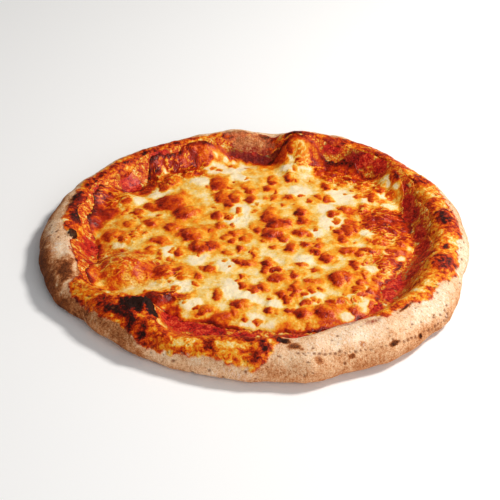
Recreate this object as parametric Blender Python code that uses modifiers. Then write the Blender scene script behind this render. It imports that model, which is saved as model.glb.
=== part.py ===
"""A whole cheese pizza as it comes out of the oven: dough with a puffy rim, tomato sauce and melted cheese.

Lengths are metres and angles are degrees, counted anticlockwise from +X as seen from above.
Each layer is first turned as if the pizza were perfectly round, and its points are then moved to the
uneven shape of a hand-stretched one. The layers share their rings, so they nest without touching.
"""

import math

import bmesh
import bpy
from mathutils import Vector, noise

NAME = "cheese_pizza"
STEPS = 108  # points around each ring
SAME_PLACE = 0.00001  # points nearer than this are one
GAP = 0.0003  # air left between two layers

# The perfectly round pizza
OUTER_RADIUS = 0.1595
CREST_RADIUS = 0.1390  # the top of the rim
SAUCE_RADIUS = 0.1250
CHEESE_RADIUS = 0.1165
RIM_HEIGHT = 0.0225
FLOOR_THICKNESS = 0.0046  # the dough under the sauce
SAUCE_THICKNESS = 0.0018
CHEESE_THICKNESS = 0.0034
SAUCE_EDGE = 0.0007  # the sauce's thickness where it ends
CHEESE_EDGE = 0.0012
SLOPE_WIDTH = 0.021  # from the rim's foot to its crest
REST_INSET = 0.0125  # from the outer edge in to where the base leaves the table
LEAST_SAUCE_SHOWN = 0.0015
LEAST_BARE_SLOPE = 0.003  # dough left bare between the sauce and the crest
RISE_POWER = 1.35  # above 1, the slope sets off gently from the floor
TAPER_POWER = 10  # the higher, the nearer its edge a layer starts to thin
RELIEF_POWER = 12  # likewise for the relief on the cheese
DOME_POWER = 1.5  # above 1, a bump runs out softly into what is round it

# Where the hand-stretched one departs from it: (angle, how much, how far to each side in degrees)
OUTLINE_LOBES = (
    (57, 0.0070, 15), (24, 0.0035, 9), (67, 0.0020, 8), (90, 0.0045, 16), (135, 0.0050, 10),
    (158, 0.0025, 12), (176, 0.0015, 8), (198, -0.0015, 6), (222, -0.0120, 13), (223, 0.0050, 5),
    (241, -0.0042, 6), (252, -0.0055, 13), (284, 0.0050, 7), (303, 0.0050, 9), (311, 0.0018, 6),
    (324, 0.0030, 8), (344, -0.0040, 9),
)
CREST_LOBES = (
    (71, 0.0040, 9), (85, -0.0035, 5), (98, 0.0020, 9), (145, -0.0025, 20), (180, -0.0010, 12),
    (206, -0.0020, 9), (228, 0.0020, 7), (249, -0.0030, 9), (300, 0.0030, 26), (8, 0.0010, 10),
    (96, 0.0012, 30),
)
WIDTH_LOBES = (
    (42, -0.0080, 15), (120, -0.0070, 24), (152, -0.0050, 12), (209, -0.0055, 9), (223, 0.0050, 5),
    (231, 0.0090, 6), (241, -0.0042, 6), (248, -0.0070, 9), (305, 0.0040, 26),
)
CHEESE_LOBES = (
    (12, 0.0045, 12), (38, 0.0240, 12), (57, 0.0180, 8), (73, 0.0260, 9), (90, 0.0080, 8),
    (108, 0.0260, 10), (125, 0.0230, 9), (150, 0.0240, 10), (166, 0.0120, 8), (204, 0.0145, 10),
    (235, -0.0120, 12), (251, -0.0095, 9), (271, -0.0125, 16), (330, -0.0115, 10), (345, -0.0070, 8),
)
SAUCE_LOBES = (
    (15, 0.0050, 14), (50, 0.0060, 7), (75, -0.0045, 9), (90, -0.0025, 7), (136, 0.0060, 6),
    (152, -0.0040, 9), (186, 0.0110, 7), (207, -0.0060, 8), (228, -0.0060, 7), (240, 0.0080, 16),
    (250, 0.0090, 9), (265, 0.0120, 9), (307, 0.0070, 7), (333, 0.0110, 12), (348, 0.0090, 9),
)

# Bubbles and hollows in the dough: (x, y, half length, half width, turn, height)
DOUGH_BUBBLES = (
    (-0.098, -0.034, 0.028, 0.024, 20, 0.0085),
    (0.033, 0.124, 0.036, 0.020, 98, 0.0050),
    (0.108, 0.090, 0.022, 0.018, 45, 0.0025),
    (-0.104, 0.060, 0.020, 0.016, 60, 0.0030),
    (0.066, 0.112, 0.018, 0.014, 60, -0.0020),
)
# Blisters and folds in the cheese, large enough to feel
CHEESE_BLISTERS = (
    (-0.062, 0.057, 0.016, 0.013, 10, 0.0055),
    (-0.051, 0.040, 0.014, 0.009, 115, 0.0040),
    (-0.027, 0.083, 0.018, 0.009, 100, 0.0042),
    (-0.018, 0.060, 0.010, 0.007, 55, 0.0036),
    (-0.067, 0.092, 0.013, 0.008, 75, 0.0036),
    (-0.059, 0.117, 0.015, 0.011, 80, 0.0040),
    (-0.118, 0.045, 0.013, 0.010, 20, 0.0030),
    (-0.044, 0.009, 0.013, 0.011, 110, 0.0036),
    (-0.036, -0.005, 0.012, 0.009, 0, 0.0034),
    (0.013, 0.034, 0.014, 0.009, 100, 0.0042),
    (0.019, 0.017, 0.014, 0.010, 60, 0.0042),
    (0.037, 0.039, 0.012, 0.008, 90, 0.0036),
    (0.071, 0.018, 0.014, 0.008, 70, 0.0048),
    (0.098, 0.034, 0.018, 0.011, 70, 0.0036),
    (0.061, -0.045, 0.012, 0.010, 80, 0.0044),
    (0.084, -0.011, 0.014, 0.007, 10, 0.0034),
    (0.052, -0.085, 0.014, 0.009, 40, 0.0042),
    (0.075, -0.062, 0.014, 0.007, 20, 0.0036),
    (0.024, -0.069, 0.015, 0.008, 120, 0.0036),
    (0.010, -0.034, 0.010, 0.009, 0, 0.0034),
    (-0.065, -0.038, 0.014, 0.012, 0, 0.0044),
    (-0.030, -0.088, 0.014, 0.009, 140, 0.0030),
)

# Rings that the layers share, as shares of the way out to the cheese's edge
SHARED_RINGS = (0.40, 0.64, 0.78, 0.87, 0.93, 0.97, 1.0)
CHEESE_TOP_RINGS = 24
SLOPE_RINGS = (0.3, 0.65, 1.0)  # shares of the way from the sauce's edge to the crest
CHEESE_WAVE = 0.0007  # height of the gentle unevenness between the blisters
CHEESE_WAVE_LENGTH = 0.019
# The rim's outer side, crest to base: (share of the crest's distance from the edge, share of the height)
OUTER_SIDE = ((0.30, 0.975), (0.60, 0.87), (0.85, 0.68), (1.0, 0.42), (0.90, 0.14))
BASE_RINGS = (0.80, 0.42)  # shares of the way out to where the base leaves the table
DOUGH_WAVE = 0.0011  # height of the gentle unevenness on the rim
DOUGH_WAVE_LENGTH = 0.021

DOUGH_COLOUR, DOUGH_ROUGHNESS = (0.76, 0.52, 0.31, 1.0), 0.85
SAUCE_COLOUR, SAUCE_ROUGHNESS = (0.42, 0.028, 0.010, 1.0), 0.35
CHEESE_COLOUR, CHEESE_ROUGHNESS = (0.86, 0.55, 0.20, 1.0), 0.4


def lobes(angle, places):
    """The sum of smooth bulges at these places, at an angle."""
    total = 0.0
    for at, amount, spread in places:
        away = (angle - at + 180) % 360 - 180
        total += amount * math.exp(-((away / spread) ** 2))
    return total


def outline(angle):
    return OUTER_RADIUS + lobes(angle, OUTLINE_LOBES)


def crest_radius(angle):
    return outline(angle) - (OUTER_RADIUS - CREST_RADIUS) - lobes(angle, WIDTH_LOBES)


def crest_height(angle):
    return RIM_HEIGHT + lobes(angle, CREST_LOBES)


def sauce_edge(angle):
    wanted = cheese_lobes(angle) + (SAUCE_RADIUS - CHEESE_RADIUS) + lobes(angle, SAUCE_LOBES)
    return min(wanted, crest_radius(angle) - LEAST_BARE_SLOPE)


def cheese_lobes(angle):
    return CHEESE_RADIUS + lobes(angle, CHEESE_LOBES)


def cheese_edge(angle):
    return min(cheese_lobes(angle), sauce_edge(angle) - LEAST_SAUCE_SHOWN)


def uneven_radius(round_radius, angle):
    """Where a point of the round pizza lies on the uneven one, by straight steps between named rings."""
    rings = (
        (0.0, 0.0),
        (CHEESE_RADIUS, cheese_edge(angle)),
        (SAUCE_RADIUS, sauce_edge(angle)),
        (CREST_RADIUS, crest_radius(angle)),
        (OUTER_RADIUS, outline(angle)),
    )
    for (inner, inner_true), (outer, outer_true) in zip(rings, rings[1:]):
        if round_radius <= outer + GAP:
            return inner_true + (outer_true - inner_true) * (round_radius - inner) / (outer - inner)
    raise ValueError("a point lies outside the round pizza")


def domes(x, y, places):
    """The height of the rounded bumps at these places, over a point."""
    total = 0.0
    for at_x, at_y, half_length, half_width, turn, height in places:
        cos, sin = math.cos(math.radians(turn)), math.sin(math.radians(turn))
        along = ((x - at_x) * cos + (y - at_y) * sin) / half_length
        across = ((y - at_y) * cos - (x - at_x) * sin) / half_width
        total += height * max(0.0, 1 - along**2 - across**2) ** DOME_POWER
    return total


def dough_top(x, y, angle):
    """Height of the dough's upper side, from the middle out to the crest."""
    crest = crest_radius(angle)
    climb = min(1.0, max(0.0, 1 - (crest - math.hypot(x, y)) / SLOPE_WIDTH))
    rise = math.sin(math.pi / 2 * climb**RISE_POWER)
    return FLOOR_THICKNESS + (crest_height(angle) - FLOOR_THICKNESS) * rise + domes(x, y, DOUGH_BUBBLES)


def taper(radius, edge, full, least):
    """A layer's thickness: full inside, rounded down to least at its edge."""
    return least + (full - least) * (1 - min(1.0, radius / edge) ** TAPER_POWER)


def sauce_top(x, y, angle):
    thickness = taper(math.hypot(x, y), sauce_edge(angle), SAUCE_THICKNESS, SAUCE_EDGE)
    return dough_top(x, y, angle) + GAP + thickness


def cheese_top(x, y, angle):
    share = min(1.0, math.hypot(x, y) / cheese_edge(angle))
    thickness = taper(math.hypot(x, y), cheese_edge(angle), CHEESE_THICKNESS, CHEESE_EDGE)
    wave = CHEESE_WAVE * noise.noise(Vector((x, y, 0.0)) / CHEESE_WAVE_LENGTH)
    relief = (domes(x, y, CHEESE_BLISTERS) + wave) * (1 - share**RELIEF_POWER)
    return sauce_top(x, y, angle) + GAP + thickness + relief


def turned(name, profile):
    """The solid that a profile makes when it turns round the Z axis."""
    mesh = bpy.data.meshes.new(name + "_profile")
    edges = [(i, i + 1) for i in range(len(profile) - 1)]
    mesh.from_pydata([(radius, 0, height) for radius, height in profile], edges, [])
    obj = bpy.data.objects.new(name, mesh)
    bpy.context.scene.collection.objects.link(obj)
    screw = obj.modifiers.new("turn", "SCREW")
    screw.steps = screw.render_steps = STEPS
    screw.use_merge_vertices = True
    screw.merge_threshold = SAME_PLACE
    graph = bpy.context.evaluated_depsgraph_get()
    obj.data = bpy.data.meshes.new_from_object(obj.evaluated_get(graph))
    obj.modifiers.clear()
    bpy.data.meshes.remove(mesh)
    return obj


def split_alike(bm):
    """Splits every four-sided face along the same diagonal, whichever way it looks, so that layers nest."""
    for face in [f for f in bm.faces if len(f.verts) == 4]:
        by_radius = sorted(face.verts, key=lambda v: v.co.xy.length)
        middle = face.calc_center_median()
        inner_later = max(by_radius[:2], key=lambda v: middle.xy.cross(v.co.xy))
        outer_earlier = min(by_radius[2:], key=lambda v: middle.xy.cross(v.co.xy))
        if by_radius[2].co.xy.length - by_radius[1].co.xy.length > GAP:
            bmesh.utils.face_split(face, inner_later, outer_earlier)
    bmesh.ops.triangulate(bm, faces=[f for f in bm.faces if len(f.verts) > 3])


def make_uneven(obj, place):
    """Moves each point of a turned solid to the radius and height that place(radius, height, angle) gives."""
    bm = bmesh.new()
    bm.from_mesh(obj.data)
    split_alike(bm)
    for vert in bm.verts:
        angle = math.degrees(math.atan2(vert.co.y, vert.co.x))
        radius, height = place(vert.co.xy.length, vert.co.z, angle)
        turn = math.radians(angle)
        vert.co = (radius * math.cos(turn), radius * math.sin(turn), height)
    bmesh.ops.recalc_face_normals(bm, faces=bm.faces)
    bm.to_mesh(obj.data)
    bm.free()
    obj.data.shade_smooth()


def give_material(obj, colour, roughness):
    material = bpy.data.materials.new(obj.name)
    material.use_nodes = True
    shader = material.node_tree.nodes["Principled BSDF"]
    shader.inputs["Base Color"].default_value = colour
    shader.inputs["Roughness"].default_value = roughness
    shader.inputs["Metallic"].default_value = 0.0
    obj.data.materials.append(material)


def shared_radii():
    """The rings under the cheese and the sauce that all three layers have in common."""
    under_cheese = [share * CHEESE_RADIUS for share in SHARED_RINGS]
    return under_cheese + [(CHEESE_RADIUS + SAUCE_RADIUS) / 2, SAUCE_RADIUS]


def make_dough():
    """One solid: a floor that climbs to the crest of the rim, then the round outer side and a flat base."""
    slope = CREST_RADIUS - SAUCE_RADIUS
    top = [(radius, FLOOR_THICKNESS) for radius in [0.0] + shared_radii()]
    top += [(SAUCE_RADIUS + slope * share, RIM_HEIGHT * share) for share in SLOPE_RINGS]
    rim = OUTER_RADIUS - CREST_RADIUS
    side = [(CREST_RADIUS + rim * out, RIM_HEIGHT * up) for out, up in OUTER_SIDE]
    rest_radius = OUTER_RADIUS - REST_INSET
    base = [(rest_radius, 0.0)] + [(rest_radius * share, 0.0) for share in BASE_RINGS] + [(0.0, 0.0)]
    obj = turned("dough", top + side + base)

    def place(round_radius, round_height, angle):
        radius = uneven_radius(round_radius, angle)
        turn = math.radians(angle)
        x, y = radius * math.cos(turn), radius * math.sin(turn)
        if round_height < GAP:
            return radius, 0.0
        if round_radius <= CREST_RADIUS + GAP:
            height = dough_top(x, y, angle)
        else:
            height = crest_height(angle) * round_height / RIM_HEIGHT + domes(x, y, DOUGH_BUBBLES)
        if round_radius <= SAUCE_RADIUS + GAP:
            return radius, height
        wave = DOUGH_WAVE * noise.noise(Vector((x, y, height)) / DOUGH_WAVE_LENGTH)
        return radius + wave, height + wave * min(1.0, height / RIM_HEIGHT)

    make_uneven(obj, place)
    give_material(obj, DOUGH_COLOUR, DOUGH_ROUGHNESS)
    return obj


def make_layer(name, top_radii, bottom_radii, top, bottom):
    """A sheet between two surfaces, top and bottom, each a function of x, y and the angle."""
    height = 0.001  # tells the upper points of the round sheet from the lower ones
    profile = [(radius, height) for radius in [0.0] + top_radii]
    profile += [(radius, 0.0) for radius in reversed([0.0] + bottom_radii)]
    obj = turned(name, profile)

    def place(round_radius, round_height, angle):
        radius = uneven_radius(round_radius, angle)
        turn = math.radians(angle)
        surface = top if round_height > height / 2 else bottom
        return radius, surface(radius * math.cos(turn), radius * math.sin(turn), angle)

    make_uneven(obj, place)
    return obj


def make_sauce():
    def bottom(x, y, angle):
        return dough_top(x, y, angle) + GAP

    obj = make_layer("tomato_sauce", shared_radii(), shared_radii(), sauce_top, bottom)
    give_material(obj, SAUCE_COLOUR, SAUCE_ROUGHNESS)
    return obj


def make_cheese():
    def bottom(x, y, angle):
        return sauce_top(x, y, angle) + GAP

    top_radii = [CHEESE_RADIUS * (ring + 1) / CHEESE_TOP_RINGS for ring in range(CHEESE_TOP_RINGS)]
    bottom_radii = [share * CHEESE_RADIUS for share in SHARED_RINGS]
    obj = make_layer("melted_cheese", top_radii, bottom_radii, cheese_top, bottom)
    give_material(obj, CHEESE_COLOUR, CHEESE_ROUGHNESS)
    return obj


def middle_of(obj):
    """The middle of an object's extent in X and Y."""
    xs = [vert.co.x for vert in obj.data.vertices]
    ys = [vert.co.y for vert in obj.data.vertices]
    return Vector(((min(xs) + max(xs)) / 2, (min(ys) + max(ys)) / 2, 0.0))


def main():
    for obj in list(bpy.data.objects):
        bpy.data.objects.remove(obj)
    collection = bpy.data.collections.new(NAME)
    bpy.context.scene.collection.children.link(collection)
    whole = bpy.data.objects.new(NAME, None)
    collection.objects.link(whole)
    layers = [make_dough(), make_sauce(), make_cheese()]
    for layer in layers:
        bpy.context.scene.collection.objects.unlink(layer)
        collection.objects.link(layer)
        layer.parent = whole
    whole.location = -middle_of(layers[0])


main()
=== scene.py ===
"""The looks of a whole cheese pizza: puffy crust, tomato sauce and one sheet of melted, browned cheese.

Lengths are metres and angles are degrees, counted anticlockwise from +X as seen from above. The three
layers are shaped by the same named sizes as the solids that they replace, but for thinner edges, and the
fine relief is added.
"""

import math

import bpy
import numpy as np
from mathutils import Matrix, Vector, noise


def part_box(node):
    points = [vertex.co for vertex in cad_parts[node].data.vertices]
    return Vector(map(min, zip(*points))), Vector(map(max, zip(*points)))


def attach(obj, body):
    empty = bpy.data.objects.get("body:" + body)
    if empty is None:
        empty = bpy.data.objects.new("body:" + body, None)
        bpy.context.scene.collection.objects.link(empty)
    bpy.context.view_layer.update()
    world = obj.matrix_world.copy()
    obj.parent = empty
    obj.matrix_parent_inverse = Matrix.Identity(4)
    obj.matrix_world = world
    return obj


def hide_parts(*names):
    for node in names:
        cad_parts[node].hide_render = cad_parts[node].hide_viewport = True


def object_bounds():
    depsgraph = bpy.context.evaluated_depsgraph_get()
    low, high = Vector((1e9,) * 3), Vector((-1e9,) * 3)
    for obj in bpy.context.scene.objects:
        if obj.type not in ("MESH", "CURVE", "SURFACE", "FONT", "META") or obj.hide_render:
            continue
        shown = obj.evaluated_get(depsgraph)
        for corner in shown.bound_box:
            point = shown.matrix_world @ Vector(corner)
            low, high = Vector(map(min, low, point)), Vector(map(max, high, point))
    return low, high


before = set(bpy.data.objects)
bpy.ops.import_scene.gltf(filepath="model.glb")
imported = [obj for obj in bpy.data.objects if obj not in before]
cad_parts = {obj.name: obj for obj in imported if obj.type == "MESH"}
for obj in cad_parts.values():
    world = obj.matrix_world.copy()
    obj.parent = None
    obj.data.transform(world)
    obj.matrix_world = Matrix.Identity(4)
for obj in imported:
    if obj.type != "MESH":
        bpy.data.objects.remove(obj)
cad_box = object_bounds()

GAP = 0.0003  # air left between two layers

# The perfectly round pizza
OUTER_RADIUS = 0.1595
CREST_RADIUS = 0.1390  # the top of the rim
SAUCE_RADIUS = 0.1250
CHEESE_RADIUS = 0.1165
RIM_HEIGHT = 0.0225
FLOOR_THICKNESS = 0.0046
SAUCE_THICKNESS = 0.0018
CHEESE_THICKNESS = 0.0034
THIN_EDGE = 0.00015  # how thin both toppings run out at their edges
SLOPE_WIDTH = 0.021  # from the rim's foot to its crest
REST_INSET = 0.0125  # from the outer edge in to where the base leaves the table
LEAST_SAUCE_SHOWN = 0.0015
LEAST_BARE_SLOPE = 0.003  # dough left bare between the sauce and the crest
RISE_POWER = 1.35  # above 1, the slope sets off gently from the floor
TAPER_POWER = 10  # the higher, the nearer its edge a layer starts to thin
DOME_POWER = 1.5  # above 1, a bump runs out softly into what is round it
# The rim's outer side from its crest down, as shares of its width and height
OUTER_SIDE = ((0.0, 1.0), (0.30, 0.975), (0.60, 0.87), (0.85, 0.68), (1.0, 0.42), (0.90, 0.14))
DOUGH_WAVE = 0.0011
DOUGH_WAVE_LENGTH = 0.021

# Where the hand-stretched one departs from it: (angle, how much, how far to each side in degrees)
OUTLINE_LOBES = (
    (57, 0.0070, 15), (24, 0.0035, 9), (67, 0.0020, 8), (90, 0.0045, 16), (135, 0.0050, 10),
    (158, 0.0025, 12), (176, 0.0015, 8), (198, -0.0015, 6), (222, -0.0120, 13), (223, 0.0050, 5),
    (241, -0.0042, 6), (252, -0.0055, 13), (284, 0.0050, 7), (303, 0.0050, 9), (311, 0.0018, 6),
    (324, 0.0030, 8), (344, -0.0040, 9),
)
CREST_LOBES = (
    (71, 0.0040, 9), (85, -0.0035, 5), (98, 0.0020, 9), (145, -0.0025, 20), (180, -0.0010, 12),
    (206, -0.0020, 9), (228, 0.0020, 7), (249, -0.0030, 9), (300, 0.0030, 26), (8, 0.0010, 10),
    (96, 0.0012, 30),
)
WIDTH_LOBES = (
    (42, -0.0080, 15), (120, -0.0070, 24), (152, -0.0050, 12), (209, -0.0055, 9), (223, 0.0050, 5),
    (231, 0.0090, 6), (241, -0.0042, 6), (248, -0.0070, 9), (305, 0.0040, 26),
)
CHEESE_LOBES = (
    (12, 0.0045, 12), (38, 0.0240, 12), (57, 0.0180, 8), (73, 0.0260, 9), (90, 0.0080, 8),
    (108, 0.0260, 10), (125, 0.0230, 9), (150, 0.0240, 10), (166, 0.0120, 8), (204, 0.0145, 10),
    (235, -0.0120, 12), (251, -0.0095, 9), (271, -0.0125, 16), (330, -0.0115, 10), (345, -0.0070, 8),
)
SAUCE_LOBES = (
    (15, 0.0050, 14), (50, 0.0060, 7), (75, -0.0045, 9), (90, -0.0025, 7), (136, 0.0060, 6),
    (152, -0.0040, 9), (186, 0.0110, 7), (207, -0.0060, 8), (228, -0.0060, 7), (240, 0.0080, 16),
    (250, 0.0090, 9), (265, 0.0120, 9), (307, 0.0070, 7), (333, 0.0110, 12), (348, 0.0090, 9),
)
# Bubbles and hollows in the dough: (x, y, half length, half width, turn, height)
DOUGH_BUBBLES = (
    (-0.098, -0.034, 0.028, 0.024, 20, 0.0085), (0.033, 0.124, 0.036, 0.020, 98, 0.0050),
    (0.108, 0.090, 0.022, 0.018, 45, 0.0025), (-0.104, 0.060, 0.020, 0.016, 60, 0.0030),
    (0.066, 0.112, 0.018, 0.014, 60, -0.0020),
)

# Browned blisters of the cheese, in millimetres: (x, y, half width, half depth, how brown). 0 is golden, 1 is
# dark brown and 2 is burnt.
BLISTERS_BACK_LEFT = (
    (-70, -70, 9, 5, 2.0), (-61, -66, 6, 4, 1.8), (22, 126, 6, 6, .9), (30, 128, 4, 4, 1.0),
    (-63, 58, 13, 11, .95), (-52, 43, 10, 11, .78), (-77, 53, 9, 5, .9), (-27, 88, 8, 13, .7),
    (-25, 67, 7, 9, .8), (-20, 57, 5, 7, .95), (-15, 65, 5, 8, .85), (-67, 93, 7, 9, .9),
    (-71, 84, 5, 8, .7), (-87, 90, 5, 8, .6), (-85, 115, 5, 8, .85), (-60, 118, 10, 13, .95),
    (-53, 108, 7, 9, .85), (-68, 116, 5, 8, .8), (-40, 125, 7, 9, .8), (-118, 46, 9, 8, .9),
    (-125, 36, 7, 9, .9), (-124, 66, 7, 9, .9), (-107, 72, 9, 8, .72), (-100, 62, 5, 7, .75),
    (-90, 46, 5, 5, .85), (-87, 38, 3, 3, .5), (-78, 29, 6, 6, .75), (-62, 21, 5, 6, .8),
    (-70, 5, 7, 6, .7), (-96, 27, 4, 5, .5), (-87, 22, 3, 3, .5), (-107, 12, 6, 6, .75), (-98, 7, 5, 5, .7),
    (-90, 13, 4, 5, .6), (-28, 40, 6, 6, .9), (-19, 38, 4, 4, .8), (-27, 26, 4, 5, .8), (-16, 26, 2, 4, .7),
    (-12, 46, 3, 5, .5), (-46, 12, 10, 9, .8), (-40, -5, 9, 9, .85), (-30, -3, 6, 7, .85),
    (-15, 14, 4, 5, .8), (-16, 3, 4, 4, .85), (-8, 7, 4, 4, .85), (-22, 8, 4, 4, .6), (-3, 65, 4, 7, .8),
    (-3, 75, 4, 4, .6), (-6, 82, 4, 5, .4), (-96, 100, 5, 6, .85), (-90, 107, 4, 5, .8),
    (-100, 84, 6, 6, .85), (-78, 104, 5, 6, .7), (-111, 84, 5, 6, .85), (-76, 97, 4, 4, .6),
    (-94, 76, 4, 5, .6), (-111, 58, 4, 5, .6), (-50, 124, 5, 5, .8),
)
BLISTERS_BACK_RIGHT = (
    (11, 38, 6, 10, .8), (17, 27, 9, 8, .9), (14, 13, 8, 8, .95), (4, 18, 5, 4, .8), (24, 30, 6, 6, .75),
    (22, 8, 5, 5, .7), (36, 44, 6, 6, .85), (37, 33, 4, 8, .8), (34, 15, 6, 6, .9), (60, 41, 5, 5, .85),
    (69, 49, 4, 5, .7), (27, 67, 4, 5, .7), (38, 69, 4, 2, .5), (44, 61, 3, 3, .5), (22, 56, 3, 3, .4),
    (57, 64, 4, 5, .75), (50, 68, 3, 4, .6), (57, 83, 5, 6, .95), (27, 97, 4, 8, .8), (14, 93, 4, 8, .7),
    (10, 80, 4, 5, .7), (15, 66, 4, 5, .75), (70, 18, 5, 9, .98), (64, 16, 4, 5, .8), (76, 22, 3, 8, .85),
    (66, 6, 4, 6, .85), (98, 38, 7, 12, .95), (88, 26, 5, 6, .8), (110, 28, 4, 7, .8), (92, 2, 7, 4, .85),
    (103, -8, 6, 4, .8), (107, 40, 5, 8, .7), (96, 20, 5, 8, .8), (104, 20, 5, 5, .8), (108, 3, 5, 5, .9),
    (92, 68, 5, 10, .7), (80, 68, 3, 4, .4), (96, 92, 3, 6, .6), (107, 72, 4, 5, .7), (38, 120, 6, 9, .6),
    (37, -1, 4, 4, .9), (26, -5, 4, 7, .9), (48, -4, 3, 4, .85), (52, -19, 5, 7, .9), (45, -12, 4, 5, .8),
    (14, -4, 4, 3, .6), (8, 3, 3, 3, .6), (84, 50, 4, 8, .7), (88, 36, 5, 7, .75), (66, 109, 9, 8, .95),
    (78, 101, 8, 7, .8), (89, 92, 6, 6, .75), (60, 98, 5, 5, .6), (72, 92, 4, 4, .6), (99, 81, 5, 6, .75),
    (84, 82, 4, 5, .6), (52, 111, 5, 6, .85), (92, 102, 5, 5, .7), (110, 86, 3, 5, .6),
)
BLISTERS_FRONT_LEFT = (
    (-65, -37, 8, 8, .9), (-53, -38, 6, 9, .75), (-41, -44, 3, 5, .7), (-32, -34, 5, 5, .7),
    (-42, -54, 3, 3, .5), (-26, -65, 4, 8, .6), (-10, -78, 6, 6, .75), (-15, -85, 3, 6, .6),
    (-35, -84, 6, 5, .7), (-25, -92, 5, 5, .6), (-8, -56, 4, 4, .8), (-1, -61, 4, 4, .85),
    (5, -58, 5, 4, .75), (-12, -25, 5, 4, .85), (-5, -28, 6, 4, .85), (9, -28, 5, 5, .85),
    (8, -36, 4, 4, .95), (15, -35, 4, 4, .95), (-9, -44, 3, 3, .5), (-20, -13, 4, 3, .5),
    (-12, -7, 4, 5, .9), (0, -14, 2, 7, .6), (-55, -12, 4, 6, .6), (-71, -13, 2, 4, .5),
    (-63, -65, 9, 4, .9), (-50, -68, 6, 4, .7), (2, -97, 4, 3, .6),
)
BLISTERS_FRONT_RIGHT = (
    (17, -46, 7, 6, .8), (28, -43, 5, 5, .8), (34, -29, 4, 3, .7), (44, -35, 4, 3, .6),
    (18, -66, 4, 5, .85), (23, -72, 4, 6, .85), (28, -60, 3, 10, .9), (35, -67, 3, 3, .8),
    (35, -76, 4, 3, .75), (40, -60, 3, 5, .5), (40, -50, 5, 3, .8), (10, -85, 4, 4, .75),
    (33, -88, 6, 6, .9), (26, -85, 5, 3, .8), (50, -87, 9, 7, .95), (58, -75, 8, 4, .8),
    (75, -63, 7, 5, .8), (73, -58, 4, 3, .85), (82, -60, 4, 4, .8), (71, -83, 5, 6, .7),
    (82, -75, 3, 5, .7), (60, -47, 7, 9, .95), (67, -44, 3, 8, .75), (76, -51, 3, 5, .95),
    (78, -40, 2, 6, .6), (85, -10, 9, 4, .9), (78, -13, 5, 4, .9), (68, -10, 7, 5, .8),
    (96, -25, 7, 10, .75), (83, -23, 3, 3, .6), (73, -28, 4, 8, .75), (88, -46, 3, 3, .6),
    (95, -46, 3, 4, .8), (45, -106, 10, 3, .6), (30, -110, 9, 3, .6), (62, -100, 8, 3, .5),
)
BLISTERS = BLISTERS_BACK_LEFT + BLISTERS_BACK_RIGHT + BLISTERS_FRONT_LEFT + BLISTERS_FRONT_RIGHT
# Where the cheese stayed pale and thick, in millimetres: (x, y, radius). Those at (103, 84) and (112, 76) are
# also painted light on the rim's inner slope at the back right, which the light leaves in shade.
PALE_AND_LIT_PATCHES = (
    (-32, 113, 13), (-41, 92, 9), (-75, 72, 10), (-89, 60, 7), (-12, 49, 9), (-16, 31, 8), (34, 76, 9),
    (68, 66, 13), (58, 31, 12), (46, 13, 8), (84, 13, 6), (104, 56, 6), (117, -3, 6), (84, -32, 6),
    (-64, -12, 8), (-42, -21, 9), (-22, -29, 9), (-119, 14, 5), (-100, -1, 6), (-53, -54, 11),
    (-18, -58, 10), (-4, -70, 9), (-45, -76, 8), (14, -78, 6), (0, -100, 10), (42, -71, 8), (70, -70, 6),
    (88, -74, 7), (36, -22, 8), (100, -52, 6), (55, 50, 8), (28, 108, 8), (37, 117, 5), (41, 110, 5),
    (88, 60, 7), (62, 75, 7), (-14, 112, 11), (-40, 125, 3), (-32, 127, 3), (-24, 126, 3), (-17, 125, 3),
    (-11, 122, 3), (78, -58, 5), (2, 58, 6), (31, 120, 6), (37, 126, 4), (100, 70, 5), (103, 84, 6),
    (112, 76, 4), (-14, 98, 9), (96, -12, 4), (108, -16, 4), (97, -62, 8), (77, -80, 10), (64, -90, 6),
    (10, -101, 7), (-72, 107, 4),
)
# Where the cheese is thin and toasted and the sauce shows through it: (x, y, half width, half depth, amount)
THIN_PATCHES = (
    (-98, -36, 30, 27, .95), (-112, -8, 16, 14, .9), (-118, 50, 18, 26, .8), (-62, 112, 34, 16, .8),
    (72, 108, 30, 22, .8), (100, 86, 22, 18, .25), (100, 30, 26, 30, .95), (-72, -72, 22, 12, .6),
    (16, 120, 14, 8, .4), (-30, -98, 24, 9, .4), (54, -100, 30, 6, .4), (96, -30, 20, 22, .5),
    (-59, -80, 8, 8, 1.0), (56, 118, 14, 13, .9), (-94, 90, 22, 20, .9), (94, -56, 10, 10, .3),
)
# Where pale threads of cheese cross the browned parts: (x, y, radius)
THREAD_PATCHES = (
    (100, 50, 24), (98, 12, 22), (92, -28, 22), (-104, 66, 24), (-62, 106, 28), (-14, 34, 14),
    (-60, -56, 18), (-100, -30, 22), (70, -72, 14), (-92, 8, 16), (38, 114, 18), (92, 84, 20), (70, 98, 16),
    (-88, 98, 22),
)

CHEESE_CELLS = 290  # across the sheet
CHEESE_UNDERSIDE = (1.0, 0.965, 0.91, 0.83, 0.70)  # rings of the underside, as shares of the way out
RIM_STEPS = 900
SAUCE_STEPS = 720


def lobes(angle, places):
    """The sum of smooth bulges at these places, at each angle."""
    total = np.zeros_like(angle)
    for at, amount, half_width in places:
        away = (angle - at + 180) % 360 - 180
        total += amount * np.exp(-((away / half_width) ** 2))
    return total


def smooth_step(value, low, high):
    """0 below low, 1 above high and a smooth rise between."""
    share = np.clip((value - low) / (high - low), 0.0, 1.0)
    return share * share * (3 - 2 * share)


def lumps(places, size, seed=0):
    """Smooth random lumps of about this size, from about -1 to 1, at each place."""
    shift = Vector((17.3 * seed, 5.1 * seed, 9.7 * seed))
    return np.array([noise.noise(Vector(place) + shift) for place in places / size])


def rough(places, rows):
    """The sum of smooth random lumps at each place, from rows of (how high, the lumps' size, seed)."""
    return sum(height * lumps(places, size, seed) for height, size, seed in rows)


def flat(x, y):
    """The places (x, y) with no height, as rows."""
    return np.stack((x, y, np.zeros_like(x)), axis=1)


def outline(angle):
    return OUTER_RADIUS + lobes(angle, OUTLINE_LOBES)


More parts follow.
